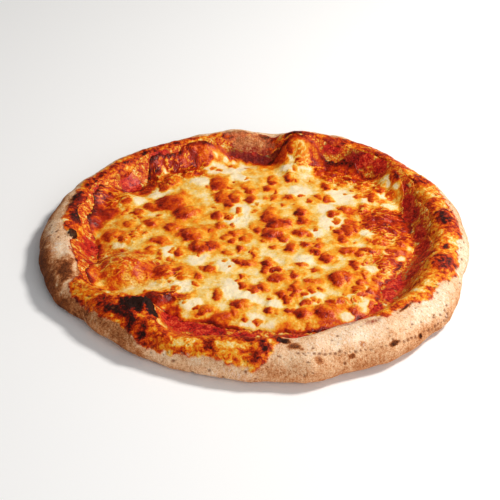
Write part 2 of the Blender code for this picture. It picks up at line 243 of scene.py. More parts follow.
def crest_radius(angle):
    return outline(angle) - (OUTER_RADIUS - CREST_RADIUS) - lobes(angle, WIDTH_LOBES)


def crest_height(angle):
    return RIM_HEIGHT + lobes(angle, CREST_LOBES)


def sauce_edge(angle):
    wanted = SAUCE_RADIUS + lobes(angle, CHEESE_LOBES) + lobes(angle, SAUCE_LOBES)
    return np.minimum(wanted, crest_radius(angle) - LEAST_BARE_SLOPE)


def cheese_edge(angle):
    wanted = CHEESE_RADIUS + lobes(angle, CHEESE_LOBES)
    return np.minimum(wanted, sauce_edge(angle) - LEAST_SAUCE_SHOWN)


def domes(x, y, places):
    """The height of the rounded bumps at these places, over each point."""
    total = np.zeros_like(x)
    for at_x, at_y, half_length, half_width, turn, height in places:
        cos, sin = math.cos(math.radians(turn)), math.sin(math.radians(turn))
        along = ((x - at_x) * cos + (y - at_y) * sin) / half_length
        across = ((y - at_y) * cos - (x - at_x) * sin) / half_width
        total += height * np.maximum(0.0, 1 - along**2 - across**2) ** DOME_POWER
    return total


def dough_top(x, y, angle):
    climb = np.clip(1 - (crest_radius(angle) - np.hypot(x, y)) / SLOPE_WIDTH, 0.0, 1.0)
    rise = np.sin(np.pi / 2 * climb**RISE_POWER)
    return FLOOR_THICKNESS + (crest_height(angle) - FLOOR_THICKNESS) * rise + domes(x, y, DOUGH_BUBBLES)


def taper(radius, edge, full, least):
    return least + (full - least) * (1 - np.minimum(1.0, radius / edge) ** TAPER_POWER)


def sauce_top(x, y, angle):
    thickness = taper(np.hypot(x, y), sauce_edge(angle), GAP + SAUCE_THICKNESS, THIN_EDGE)
    return dough_top(x, y, angle) + thickness


def uneven_radius(round_radius, angle):
    """How far out each point of the round pizza lies on the uneven one, in steps between its named rings."""
    rounds = (0.0, CHEESE_RADIUS, SAUCE_RADIUS, CREST_RADIUS, OUTER_RADIUS)
    trues = (np.zeros_like(angle), cheese_edge(angle), sauce_edge(angle), crest_radius(angle), outline(angle))
    radius = np.zeros_like(angle)
    for inner, outer, inner_true, outer_true in zip(rounds, rounds[1:], trues, trues[1:]):
        here = (round_radius > inner) & (round_radius <= outer + GAP)
        share = (round_radius - inner) / (outer - inner)
        radius = np.where(here, inner_true + (outer_true - inner_true) * share, radius)
    return radius


# Meshes: reading and writing all points of one at once

def points_of(mesh):
    flat_list = np.empty(len(mesh.vertices) * 3)
    mesh.vertices.foreach_get("co", flat_list)
    return flat_list.reshape(-1, 3)


def move_points(mesh, points):
    mesh.vertices.foreach_set("co", np.ascontiguousarray(points, dtype=np.float32).ravel())
    mesh.update()


def normals_of(mesh):
    flat_list = np.empty(len(mesh.vertices) * 3)
    mesh.vertex_normals.foreach_get("vector", flat_list)
    return flat_list.reshape(-1, 3)


def mark(mesh, name, values):
    """Keeps a number for each point, for the material to read."""
    attribute = mesh.attributes.new(name, "FLOAT", "POINT")
    attribute.data.foreach_set("value", np.ascontiguousarray(values, dtype=np.float32))


def mark_vectors(mesh, name, rows):
    attribute = mesh.attributes.new(name, "FLOAT_VECTOR", "POINT")
    attribute.data.foreach_set("vector", np.ascontiguousarray(rows, dtype=np.float32).ravel())


def face_outwards(obj):
    bpy.ops.object.select_all(action="DESELECT")
    obj.select_set(True)
    bpy.context.view_layer.objects.active = obj
    bpy.ops.object.mode_set(mode="EDIT")
    bpy.ops.mesh.select_all(action="SELECT")
    bpy.ops.mesh.normals_make_consistent(inside=False)
    bpy.ops.object.mode_set(mode="OBJECT")
    bpy.ops.object.shade_smooth()


def turned(name, profile, steps):
    """The round solid that a profile of (radius, height) makes round the Z axis."""
    mesh = bpy.data.meshes.new(name)
    edges = [(i, i + 1) for i in range(len(profile) - 1)]
    mesh.from_pydata([(radius, 0, height) for radius, height in profile], edges, [])
    obj = bpy.data.objects.new(name, mesh)
    bpy.context.collection.objects.link(obj)
    bpy.ops.object.select_all(action="DESELECT")
    obj.select_set(True)
    bpy.context.view_layer.objects.active = obj
    screw = obj.modifiers.new("turn", "SCREW")
    screw.steps = screw.render_steps = steps
    screw.use_merge_vertices = True
    screw.merge_threshold = 0.000005
    bpy.ops.object.modifier_apply(modifier="turn")
    face_outwards(obj)
    return obj


def spread(first, last, count):
    """count numbers from first, not counted, to last."""
    return [first + (last - first) * (i + 1) / count for i in range(count)]


# The dough

# How far the golden film of cheese and oil reaches over the crest: (angle, millimetres outwards)
FILM_REACH = (
    (0, 15), (4, 14), (20, 13), (45, 10), (60, 9), (68, 6), (80, 3), (95, 1), (108, 3), (130, 5), (150, 6),
    (163, 3), (170, 5), (177, 4), (181, -3), (190, -4), (203, -5), (208, 9), (212, 16), (216, 20),
    (223, 25), (228, 28), (237, 22), (242, 15), (246, 13), (251, 14), (255, 15), (259, 17), (263, 21),
    (266, 21), (269, 25), (271, 23), (273, 17), (276, 4), (279, -9), (286, -12), (297, -9), (304, -2),
    (307, 6), (312, 5), (317, 7), (321, 11), (325, 10), (331, 9), (335, 15), (341, 21), (348, 17),
    (353, 12),
)
# Toasted places on the rim: (angle, millimetres outwards, half length, half width, amount).
# Where the amount is below 0 they are paler ones. The wide ones on the outer side round the left,
# between 150 and 260 degrees, are partly painted shade.
TOASTED_AND_SHADED = (
    (200, 6, 16, 10, .72), (205, 16, 7, 4, -.25), (212, 22, 34, 12, .30), (229, 5, 14, 11, .93),
    (233, -5, 14, 8, 1.0), (230, 17, 18, 10, .76), (237, 12, 9, 9, .6), (239, -10, 7, 6, -.55),
    (243, 4, 6, 5, .30), (250, 3, 9, 5, -.35), (257.5, 6, 4.5, 8, .62), (263, 7, 5, 5, -.40),
    (266, 14, 4, 4, -.2), (267, -1, 8, 4, .55), (270, 17, 6, 5, .55), (272, 7, 4, 8, .60),
    (277.5, 1, 5, 4, .86), (280, 7, 5, 4, .62), (281.5, 10, 2, 2, .45), (290, -6, 12, 3, .45),
    (315, 6.5, 9, 1.4, .75), (326, -2, 14, 6, -.30), (341.5, 7, 11, 11, .58), (354, 3, 10, 8, -.35),
    (350, 4, 4.5, 2.2, .80), (5, 5, 15, 10, .60), (14, -2, 8, 6, .40), (30, 2, 12, 6, .25),
    (174, 0, 7, 5, -.30), (162, 2, 14, 3, .45), (150, 0, 16, 3, .40), (128, -2, 20, 4, .50),
    (112, 0, 12, 3, .35), (94, -1, 14, 5, .36), (87, 1, 6, 4, .60), (79, -7, 9, 7, .66),
    (74.5, -2, 9, 5, .66), (51, 0, 14, 3, .30), (293.5, 25, 3, 2.0, .60), (305, 25, 5, 2.2, .80),
    (313.3, 29, 1.4, 1.6, .85), (297, 19, 2.2, 2.0, .45), (285, 20, 3, 3, .35), (196, 25, 66, 18, .54),
    (160, 22, 40, 14, .34), (92, -6, 24, 8, .34), (120, 2, 40, 8, .30), (240, 30, 40, 9, .22),
    (60, 4, 40, 7, .22), (222, 14, 20, 10, .30), (166, -3, 28, 9, .75), (152, -8, 26, 6, .36),
    (204, -8, 22, 7, .6), (190, -8, 12, 5, .45), (22, 3, 12, 8, -.32), (352, 9, 9, 5, -.35),
    (12, 8, 9, 4, -.30), (358, -2, 7, 3, -.30), (88, -3, 8, 3, .35), (97, -4, 6, 2, .30),
)
# The floury places: (angle, millimetres outwards, half length, half width, amount)
FLOURED = (
    (189, 5, 12, 8, 1.0), (178, 12, 14, 7, .6), (294, 9, 34, 12, .8), (322, 17, 30, 11, .9),
    (350, 23, 30, 12, 1.0), (262, 27, 24, 5, .5),
)
# Tomato smeared over the rim, in the same measures. The one at 90 degrees is also painted shadow under the
# back rim
SMEARED_AND_SHADED = (
    (303, 3, 8, 2.6, .9), (65, -4, 9, 5, .8), (209, 2, 13, 2.4, .8), (46, -3, 5, 4, .8),
    (286, -8, 10, 3, .5), (145, -9, 26, 4, .9), (160, -4, 8, 3, .6), (269, -2, 11, 4, 1.0),
    (297, -3, 12, 3, .8), (90, -11, 15, 3, 1.0), (52, 0, 8, 4, .8), (41, -5, 7, 4, .8),
)
# Dough left bare on the inner slope, in the same measures
BARE_SLOPE = ((92, -7, 20, 6, .8), (93, -1, 20, 5, .6))
# The one black blister, in the same measures
BLACK_BLISTER = ((181.0, -4.6, 8.0, 3.9, 1.0),)
BLACK_BLISTER_HEIGHT = 0.0020
# Swellings of the rim, in the same measures, with their height in millimetres as the amount
RIM_BLISTERS = ((79, -7, 10, 8, 0.8), (341.5, 6, 12, 12, 1.2), (5, 5, 16, 11, 1.4), (231, -2, 9, 8, 1.5))

# The row of pinholes: (angle, millimetres outwards)
PINHOLE_PATH = ((279, 12), (284, 15), (289, 19), (293, 22), (299, 24), (305, 25), (309, 27), (313, 29))
PINHOLE_ANGLES = (279, 325, 1.3)  # where the row starts and ends, and the step between two
SCATTERED_PINHOLES = 260
SCATTERED_OUT = (4, 30)  # the millimetres outwards between which they lie
PINHOLE_SIZES = (0.0004, 0.0010)
PINHOLE_DEPTH = 0.0004
ALONG_THE_SIDE = 1.09  # how much longer the rim's round side is than a straight line down it
BASE_OUT = 0.040  # how far outwards the base counts as, for the marks
UNROLLED_RADIUS = 0.16  # turns an angle on the rim into a length along it
THINNEST = 0.00005  # no place of a layer is thinner than this
FILM_HEIGHT = 0.0004
# Roughness: (how high or how far, the lumps' size, seed)
FILM_EDGE = ((0.0032, 0.007, 1), (0.0022, 0.0025, 2))
RIM_PLACE_EDGE = ((0.38, 0.006, 3), (0.24, 0.0022, 4))
DOUGH_RELIEF = ((0.0007, 0.013, 5), (0.00035, 0.0055, 6), (0.00012, 0.0022, 7))
FILM_RELIEF = ((0.00035, 0.004, 8),)
TOASTED_RELIEF = ((0.00025, 0.0016, 9),)


def rounded_side(count):
    """The rim's outer side, from crest to base, as a smooth curve through its points: (radius, height)."""
    rim = OUTER_RADIUS - CREST_RADIUS
    rest = ((OUTER_RADIUS - REST_INSET - CREST_RADIUS) / rim, 0.0)
    points = [(-0.30, 0.975)] + list(OUTER_SIDE) + [rest]
    curve = []
    for before, start, end, after in zip(points, points[1:], points[2:], points[3:]):
        for i in range(count):
            t = (i + 1) / count
            row = []
            for a, b, c, d in zip(before, start, end, after):
                row.append(0.5 * (2 * b + (c - a) * t + (2 * a - 5 * b + 4 * c - d) * t * t
                                  + (3 * b - a - 3 * c + d) * t**3))
            curve.append((CREST_RADIUS + rim * row[0], RIM_HEIGHT * row[1]))
    return curve


def on_rim(rows, crest, out, angle, ragged):
    """The strongest of some ragged oval places on the rim, each as (angle, millimetres outwards, half length,
    half width, amount).
    """
    total = np.zeros_like(angle)
    for at_angle, at_out, half_length, half_width, amount in rows:
        along = np.radians((angle - at_angle + 180) % 360 - 180) * crest
        away = np.hypot(along / (half_length / 1000), (out - at_out / 1000) / (half_width / 1000))
        here = amount * smooth_step(1.15 - away + ragged, 0.0, 0.7)
        total = np.where(np.abs(here) > np.abs(total), here, total)
    return total


def make_dough():
    """The base and the rim with their relief, and the marks that their material reads."""
    hidden = [0.0, 0.04, 0.075, 0.095]
    shown_from = SAUCE_RADIUS - 0.006
    top = hidden + spread(hidden[-1], shown_from, 5) + spread(shown_from, SAUCE_RADIUS, 7)
    top += spread(SAUCE_RADIUS, CREST_RADIUS, 24)
    profile = [(radius, RIM_HEIGHT) for radius in top] + rounded_side(9)
    rest_radius = OUTER_RADIUS - REST_INSET
    profile += [(rest_radius, 0.0)] + [(rest_radius * share, 0.0) for share in (0.9, 0.6, 0.3)] + [(0.0, 0.0)]
    obj = turned("dough_crust", profile, RIM_STEPS)
    points = points_of(obj.data)
    round_radius = np.hypot(points[:, 0], points[:, 1])
    angle = np.degrees(np.arctan2(points[:, 1], points[:, 0]))
    on_base = points[:, 2] < GAP / 3
    on_top = (round_radius <= CREST_RADIUS + GAP / 3) & ~on_base
    up = points[:, 2] / RIM_HEIGHT
    radius = uneven_radius(round_radius, angle)
    x, y = radius * np.cos(np.radians(angle)), radius * np.sin(np.radians(angle))
    side_height = crest_height(angle) * up + domes(x, y, DOUGH_BUBBLES) * up
    height = np.where(on_top, dough_top(x, y, angle), side_height)
    height = np.where(on_base, 0.0, height)
    sides = np.stack((x, y, height), axis=1)
    free = smooth_step(round_radius, SAUCE_RADIUS - 0.001, SAUCE_RADIUS + 0.002) * ~on_base
    wave = DOUGH_WAVE * lumps(sides, DOUGH_WAVE_LENGTH) * free
    radius = radius + wave
    height = np.where(on_base, 0.0, height + wave * np.minimum(1.0, height / RIM_HEIGHT))
    x, y = radius * np.cos(np.radians(angle)), radius * np.sin(np.radians(angle))
    points = np.stack((x, y, height), axis=1)
    move_points(obj.data, points)

    crest = crest_radius(angle)
    drop = np.where(on_top, 0.0, np.maximum(0.0, crest_height(angle) - height))
    out = np.where(on_top, radius - crest, np.hypot(np.maximum(0.0, radius - crest), drop) * ALONG_THE_SIDE)
    out = np.where(on_base, BASE_OUT, out)

    reach = np.interp(angle % 360, [a for a, _ in FILM_REACH], [r / 1000 for _, r in FILM_REACH], period=360)
    film = smooth_step(reach + rough(points, FILM_EDGE) - out, -0.0006, 0.0010)
    ragged = rough(points, RIM_PLACE_EDGE)
    film = film * (1 - on_rim(BARE_SLOPE, crest, out, angle, ragged))
    toast = on_rim(TOASTED_AND_SHADED, crest, out, angle, ragged)
    flour = on_rim(FLOURED, crest, out, angle, ragged)
    smear = on_rim(SMEARED_AND_SHADED, crest, out, angle, ragged)
    black = on_rim(BLACK_BLISTER, crest, out, angle, 0.4 * ragged)
    swelling = on_rim(RIM_BLISTERS, crest, out, angle, 0.4 * ragged)
    holes = np.zeros_like(angle)
    draw = np.random.default_rng(11)
    in_a_row = []
    for at in np.arange(*PINHOLE_ANGLES):
        in_a_row.append((at, np.interp(at, *zip(*PINHOLE_PATH)) + draw.normal(0, 0.5)))
    scattered = []
    for _ in range(SCATTERED_PINHOLES):
        scattered.append((draw.uniform(0, 360), draw.uniform(*SCATTERED_OUT)))
    for at_angle, at_out in in_a_row + scattered:
        size = draw.uniform(*PINHOLE_SIZES)
        along = np.radians((angle - at_angle + 180) % 360 - 180) * crest
        holes = np.maximum(holes, smooth_step(1.6 - np.hypot(along, out - at_out / 1000) / size, 0.0, 1.0))
    char = np.maximum(smooth_step(toast, 0.78, 1.0), black)

    normals = normals_of(obj.data)
    relief = rough(points, DOUGH_RELIEF) + film * (FILM_HEIGHT + rough(points, FILM_RELIEF))
    relief += BLACK_BLISTER_HEIGHT * black - PINHOLE_DEPTH * holes + swelling / 1000
    relief += (toast + 3 * char) * rough(points, TOASTED_RELIEF)
    points = points + normals * (relief * free)[:, None]
    points[:, 2] = np.where(on_base, 0.0, np.maximum(points[:, 2], THINNEST))
    move_points(obj.data, points)
    mark(obj.data, "film", film)
    mark(obj.data, "toast", toast)
    mark(obj.data, "char", char)
    mark(obj.data, "flour", flour)
    mark(obj.data, "smear", smear)
    mark(obj.data, "holes", holes)
    # Darker towards the foot of the outer side, partly painted shade where the side turns downwards
    mark(obj.data, "low", smooth_step(out, 0.014, 0.034))
    unrolled = np.stack((np.radians(angle) * UNROLLED_RADIUS, out, np.zeros_like(out)), axis=1)
    mark_vectors(obj.data, "unrolled", unrolled)
    return obj


def patches(x, y, places, rows, seed):
    """The strongest of some soft oval places, each (x, y, half width, half depth, amount) in millimetres."""
    total = np.zeros_like(x)
    ragged = rough(places, ((0.35, 0.011, seed), (0.20, 0.004, seed + 1)))
    for at_x, at_y, half_width, half_depth, amount in rows:
        away = np.hypot((x * 1000 - at_x) / half_width, (y * 1000 - at_y) / half_depth)
        total = np.maximum(total, amount * smooth_step(1.2 - away + 1.4 * ragged, 0.0, 0.75))
    return total


# The sauce

# Where it lies open, in millimetres: (x, y, half width, half depth, amount). Elsewhere it has a browned skin.
SAUCE_POOLS = (
    (115, 70, 5, 7, 1.0), (117, 58, 6, 8, 1.0), (120, 38, 6, 11, 1.0), (123, 14, 6, 13, 1.0),
    (124, -8, 7, 12, 1.0), (119, -26, 9, 10, 1.0), (112, -38, 8, 10, 1.0), (103, -48, 8, 9, 1.0),
    (94, -60, 7, 8, 1.0), (84, -74, 6, 8, .9), (72, -90, 10, 6, .8), (30, -112, 22, 5, .6),
    (-10, -111, 14, 7, 1.0), (-32, -105, 18, 8, 1.0), (-50, -98, 12, 9, 1.0), (-60, -90, 8, 11, 1.0),
    (-124, -6, 9, 15, 1.0), (-118, -28, 8, 8, .8), (-97, 87, 12, 10, 1.0), (-78, 122, 10, 8, .7),
    (-2, 127, 28, 7, 1.0), (84, 112, 15, 9, 1.0), (99, 102, 9, 10, 1.0), (62, 127, 10, 7, .8),
    (-118, 66, 8, 8, .8),
)
# Painted shadow on it in the fold under the rim at the back, in the same measures
PAINTED_SAUCE_SHADOW = ((4, 129, 26, 7, .8), (78, 117, 14, 6, .5))

SAUCE_UNDERSIDE = (SAUCE_RADIUS, 0.121, CHEESE_RADIUS, 0.108, 0.098, 0.085, 0.05, 0.0)  # rings, inwards
SAUCE_WOBBLE = ((0.0012, 0.008, 21), (0.0006, 0.003, 22))
PULP = ((0.00050, 0.0050, 23), (0.00025, 0.0020, 24))


def make_sauce():
    """A thin sheet under the cheese that shows round its edge, lumpy with pulp."""
    hidden = [0.0, 0.05, 0.085]
    finer_from = CHEESE_RADIUS - 0.008
    top = hidden + spread(hidden[-1], finer_from, 4) + spread(finer_from, CHEESE_RADIUS, 10)
    top += spread(CHEESE_RADIUS, SAUCE_RADIUS, 22)
    marker = 0.001  # tells the upper points of the round sheet from the lower ones
    profile = [(radius, marker) for radius in top] + [(radius, 0.0) for radius in SAUCE_UNDERSIDE]
    obj = turned("sauce_pools", profile, SAUCE_STEPS)
    points = points_of(obj.data)
    round_radius = np.hypot(points[:, 0], points[:, 1])
    angle = np.degrees(np.arctan2(points[:, 1], points[:, 0]))
    upper = points[:, 2] > marker / 2
    radius = uneven_radius(round_radius, angle)
    x, y = radius * np.cos(np.radians(angle)), radius * np.sin(np.radians(angle))
    shown = smooth_step(round_radius, CHEESE_RADIUS - 0.001, CHEESE_RADIUS + 0.002)
    places = flat(x, y)
    edge = smooth_step(round_radius, CHEESE_RADIUS, SAUCE_RADIUS)
    radius = radius + rough(places, SAUCE_WOBBLE) * edge
    x, y = radius * np.cos(np.radians(angle)), radius * np.sin(np.radians(angle))
    pulp = rough(places, PULP) * shown * (1.1 - edge)
    height = np.where(upper, sauce_top(x, y, angle) + pulp, dough_top(x, y, angle))
    move_points(obj.data, np.stack((x, y, height), axis=1))
    pool = patches(x, y, places, SAUCE_POOLS, 25)
    mark(obj.data, "skin", 1 - smooth_step(pool, 0.25, 0.65))
    mark(obj.data, "dark", patches(x, y, places, PAINTED_SAUCE_SHADOW, 27))
    return obj


# The cheese

BLISTER_WARP_X = ((0.0026, 0.008, 31), (0.0016, 0.0032, 32))
BLISTER_WARP_Y = ((0.0026, 0.008, 33), (0.0016, 0.0032, 34))
CHEESE_WOBBLE = ((0.0030, 0.011, 35), (0.0018, 0.0038, 36))
EDGE_CIRCLE = 0.13  # the radius at which the pattern of the edge's wobble is read all round
# Patterns of lumps: (size, seed)
STRANDS = (0.009, 43)
FRAYED_STRANDS = (0.003, 44)
WIDE_LUMPS = (0.017, 45)
FINE_LUMPS = (0.006, 46)
WRINKLES = (0.0022, 47)
CRISP_BLISTERS = (0.0016, 48)
MOTTLED_BLISTERS = (0.0050, 49)
EDGE_WAVES = (0.010, 50)
EDGE_TOAST = (0.010, 51)
# What each kind of relief adds to the height
WIDE_RELIEF = 0.0010
FINE_RELIEF = 0.0007
WRINKLE_RELIEF = 0.00020
CRISP_RELIEF = 0.00040
WAVE_RELIEF = 0.0007
PALE_RISE = 0.0006
THREAD_RISE = 0.0007
THIN_SAG = 0.0005
# The shares of the way out between which the outer part sets in, and then the toasted edge
OUTER_PART = (0.72, 0.92)
TOASTED_EDGE = (0.965, 0.99)
SMALL_BLISTERS = 190
SMALL_BLISTER_SIZES = (1.2, 3.2)
WIDEST_SPOT = 132  # no small blister lies farther out, in millimetres
HIGHEST_BLISTER = 0.0040
BLISTER_STEEPNESS = 0.00042  # metres of height for each millimetre of its smaller half width


def scattered_blisters():
    """Small blisters all over the sheet, as rows like those of BLISTERS."""
    draw = np.random.default_rng(5)
    rows = []
    while len(rows) < SMALL_BLISTERS:
        at_x, at_y = draw.uniform(-125, 125), draw.uniform(-125, 125)
        if math.hypot(at_x, at_y) < WIDEST_SPOT:
            size = draw.uniform(*SMALL_BLISTER_SIZES)
            half_width, half_depth = size * draw.uniform(0.8, 1.3), size * draw.uniform(0.8, 1.5)
            rows.append((at_x, at_y, half_width, half_depth, draw.uniform(0.0, 0.6)))
    return tuple(rows)


def blister_marks(x, y):
    """How brown each place is, with painted shade on the front-left side of each blister, how near a blister,
    and how high it stands, over large and small blisters.
    """
    places = flat(x, y)
    warp_x, warp_y = rough(places, BLISTER_WARP_X), rough(places, BLISTER_WARP_Y)
    brown, halo, rise = np.zeros_like(x), np.zeros_like(x), np.zeros_like(x)
    for at_x, at_y, half_width, half_depth, browning in BLISTERS + scattered_blisters():
        near = np.abs(x * 1000 - at_x) < 2.4 * half_width + 4
        near &= np.abs(y * 1000 - at_y) < 2.4 * half_depth + 4
        across = (x[near] + warp_x[near] - at_x / 1000) / (half_width / 1000)
        along = (y[near] + warp_y[near] - at_y / 1000) / (half_depth / 1000)
        away = np.hypot(across, along)
        # The side towards the front left is darker, partly as painted shade, and has the harder edge
        toward_lit_side = np.clip(0.85 * across + 0.50 * along, -1.0, 1.0)
        covered = smooth_step((1.36 - away) / (0.60 + 0.20 * toward_lit_side), 0.0, 1.0)
        brown[near] = np.maximum(brown[near], covered * (0.41 + 0.23 * browning - 0.22 * toward_lit_side))
        halo[near] = np.maximum(halo[near], (0.3 + 0.7 * browning) * smooth_step(2.2 - away, 0.0, 1.1))
        height = min(HIGHEST_BLISTER, BLISTER_STEEPNESS * min(half_width, half_depth))
        dome = np.clip(1 - (away / 1.3) ** 2, 0.0, 1.0) ** 1.2
        rise[near] = np.maximum(rise[near], height * (0.3 + 0.7 * browning) * dome)
    return brown, halo, rise


def make_cheese():
    """One sheet with blisters, folds and threads, and the marks of how toasted, browned and thin it is."""
    bpy.ops.object.select_all(action="DESELECT")
    bpy.ops.mesh.primitive_grid_add(x_subdivisions=CHEESE_CELLS, y_subdivisions=CHEESE_CELLS, size=2.0)
    obj = bpy.context.object
    obj.name = obj.data.name = "cheese_sheet"
    bpy.ops.object.mode_set(mode="EDIT")
    bpy.ops.mesh.select_all(action="SELECT")
    bpy.ops.mesh.region_to_loop()
    past = 1.0
    for share in CHEESE_UNDERSIDE:
        bpy.ops.mesh.extrude_edges_move(TRANSFORM_OT_translate={"value": (0, 0, -1)})
        bpy.ops.transform.resize(value=(share / past, share / past, 1), center_override=(0, 0, 0))
        past = share
    bpy.ops.mesh.edge_face_add()
    bpy.ops.object.mode_set(mode="OBJECT")

    square = points_of(obj.data)
    lower = square[:, 2] < -0.5
    u, v = square[:, 0], square[:, 1]
    share = np.maximum(np.abs(u), np.abs(v))
    wide = np.abs(u) >= np.abs(v)
    safe_u, safe_v = np.where(u == 0, 1e-9, u), np.where(v == 0, 1e-9, v)
    beside = 45 * v / safe_u + np.where(u < 0, 180, 0)
    ahead = 90 - 45 * u / safe_v + np.where(v < 0, 180, 0)
    angle = (np.where(wide, beside, ahead) + 180) % 360 - 180
    edge = cheese_edge(angle)
    radius = share * edge
    x, y = radius * np.cos(np.radians(angle)), radius * np.sin(np.radians(angle))
    rim = flat(np.cos(np.radians(angle)) * EDGE_CIRCLE, np.sin(np.radians(angle)) * EDGE_CIRCLE)
    wobble = np.minimum(rough(rim, CHEESE_WOBBLE), 0.7 * (sauce_edge(angle) - edge))
    radius = radius + wobble * share**8
    x, y = radius * np.cos(np.radians(angle)), radius * np.sin(np.radians(angle))
    places = flat(x, y)

    brown, halo, rise = blister_marks(x, y)
    # pale also carries the painted light on the shaded inner slope at the back right
    pale = patches(x, y, places, [(a, b, r, r, 1.0) for a, b, r in PALE_AND_LIT_PATCHES], 37) * (1 - brown)
    thin = patches(x, y, places, THIN_PATCHES, 39)
    threaded = patches(x, y, places, [(a, b, r, r, 1.0) for a, b, r in THREAD_PATCHES], 41)
    stretched = np.stack((x + 0.6 * y, y - 0.2 * x, 0 * x), axis=1)
    strand = lumps(stretched * (1.0, 2.2, 1.0), *STRANDS) + 0.35 * lumps(places, *FRAYED_STRANDS)
    strand = np.abs(strand)
    thread = smooth_step(0.13 - strand, 0.0, 0.11) * threaded
    wide_lumps, fine_lumps = lumps(places, *WIDE_LUMPS), lumps(places, *FINE_LUMPS)
    wrinkles = lumps(places, *WRINKLES)
    inside = 1 - share**20
    near_edge = smooth_step(share, *OUTER_PART)
    relief = rise + WIDE_RELIEF * wide_lumps + FINE_RELIEF * fine_lumps
    relief = relief + PALE_RISE * pale + THREAD_RISE * thread
    crisp = lumps(places, *CRISP_BLISTERS)
    relief += WRINKLE_RELIEF * wrinkles + CRISP_RELIEF * brown * crisp - THIN_SAG * thin
    relief += near_edge * WAVE_RELIEF * lumps(places, *EDGE_WAVES)
    thickness = taper(radius, np.maximum(edge, radius), GAP + CHEESE_THICKNESS, THIN_EDGE)
    underside = sauce_top(x, y, angle)
    least = THINNEST + GAP * inside
    height = np.where(lower, underside, underside + np.maximum(least, thickness + relief * inside))
    move_points(obj.data, np.stack((x, y, height), axis=1))
    face_outwards(obj)

    # Browner round the blisters, where the sheet is thin and near its edge, and paler where it is thick
    mottle = (0.13 * wide_lumps + 0.17 * fine_lumps + 0.08 * wrinkles) * (1 - 0.5 * pale)
    toast = 0.22 + mottle - 0.25 * pale + 0.22 * halo * (1 - 0.7 * pale)
    toast = toast + thin * (1 - 0.7 * pale) * (0.30 + 0.16 * fine_lumps)
    toast = toast + near_edge * (1 - 0.8 * pale) * (0.08 + 0.18 * lumps(places, *EDGE_TOAST))
    toast = toast + 0.33 * smooth_step(share, *TOASTED_EDGE)
    # The blisters' brown brings their painted shade on the front-left side into the colour
    toast = np.maximum(toast, brown * (1 + 0.24 * lumps(places, *MOTTLED_BLISTERS) + 0.12 * wrinkles))
    toast = toast * (1 - 0.62 * thread) + 0.03 * thread
    mark(obj.data, "toast", toast)
    mark(obj.data, "brown", np.maximum(brown, 0.4 * near_edge))
    mark(obj.data, "thin", thin * (1 - thread) * (1 - 0.8 * pale))
    return obj


# Materials

class Number:
    """A number that varies over a surface: adding or multiplying it makes the Math node that does so."""

    def __init__(self, paint, socket):
        self.paint = paint
        self.socket = socket

    def work(self, operation, first, second):
        return self.paint.make("ShaderNodeMath", {"operation": operation}, {0: first, 1: second})

    def __add__(self, other):
        return self.work("ADD", self, other)

    __radd__ = __add__

    def __mul__(self, other):
        return self.work("MULTIPLY", self, other)

    __rmul__ = __mul__

    def __sub__(self, other):
        return self.work("SUBTRACT", self, other)

    def __rsub__(self, other):
        return self.work("SUBTRACT", other, self)

    def between(self, low, high):
        """0 below low and 1 above high, with a smooth rise between."""
        values = {"Value": self, "From Min": low, "From Max": high}
        return self.paint.make("ShaderNodeMapRange", {"interpolation_type": "SMOOTHSTEP"}, values)


class Paint:
    """One material: constants go on its shader's own sockets, and what varies is made by make()."""

    def __init__(self, name, **constants):
        self.material = bpy.data.materials.new(name)
        self.material.use_nodes = True
        self.nodes = self.material.node_tree.nodes
        self.links = self.material.node_tree.links
        self.shader = self.nodes["Principled BSDF"]
        for socket, value in constants.items():
            self.shader.inputs[socket.replace("_", " ")].default_value = value

    def make(self, kind, settings=None, values=None, output=0):
        """Makes a node of this kind and gives its output; values are numbers, or outputs of other nodes."""
        node = self.nodes.new(kind)
        for key, value in (settings or {}).items():
            if key == "stops":
                self.set_stops(node.color_ramp, value)
            else:
                setattr(node, key, value)
        for key, value in (values or {}).items():
            if isinstance(value, Number):
                self.links.new(value.socket, node.inputs[key])
            else:
                node.inputs[key].default_value = value
        return Number(self, node.outputs[output])

    @staticmethod
    def set_stops(ramp, stops):
        while len(ramp.elements) < len(stops):
            ramp.elements.new(0.5)
        for element, (position, colour) in zip(ramp.elements, stops):
            element.position = position
            element.color = colour

    def attribute(self, name, output=2):
        return self.make("ShaderNodeAttribute", {"attribute_name": name}, output=output)

    def place(self):
        return self.make("ShaderNodeTexCoord", output=3)

    def grain(self, place, size, detail=2.0, distortion=0.0):
        """Noise from 0 to 1 with lumps of about this size in metres."""
        values = {"Vector": place, "Scale": 1 / size, "Detail": detail, "Distortion": distortion}
        return self.make("ShaderNodeTexNoise", None, values)

    def cells(self, place, size):
        """The distance to the nearest of many scattered points, in cells of this size in metres."""
        return self.make("ShaderNodeTexVoronoi", None, {"Vector": place, "Scale": 1 / size})

    def ramp(self, factor, stops):
        return self.make("ShaderNodeValToRGB", {"stops": stops}, {0: factor})

    def mix(self, factor, first, second):
        return self.make("ShaderNodeMix", {"data_type": "RGBA"}, {0: factor, 6: first, 7: second}, output=2)

    def finish(self, colour, roughness, height, depth):
        """Joins the varying colour, roughness and relief to the shader. depth is the relief's, in metres."""
        bump = self.make("ShaderNodeBump", None, {"Strength": 1.0, "Distance": depth, "Height": height})
        self.links.new(colour.socket, self.shader.inputs["Base Color"])
        self.links.new(roughness.socket, self.shader.inputs["Roughness"])
        self.links.new(bump.socket, self.shader.inputs["Normal"])
        return self.material


def shade(red, green, blue):
    """A colour from its screen values of 0 to 255, as the linear values that a material takes."""
    linear = []
    for value in (red / 255, green / 255, blue / 255):
        linear.append(value / 12.92 if value <= 0.04045 else ((value + 0.055) / 1.055) ** 2.4)
    return (*linear, 1.0)


# The colours of cheese and oil as they brown, from raw to burnt
BAKED = (
    (0.00, shade(245, 226, 188)), (0.13, shade(242, 214, 156)), (0.25, shade(239, 196, 102)),
    (0.36, shade(236, 166, 44)), (0.48, shade(230, 124, 10)), (0.60, shade(212, 76, 3)),
    (0.74, shade(166, 36, 2)), (0.88, shade(100, 17, 2)), (1.00, shade(42, 12, 5)),
)


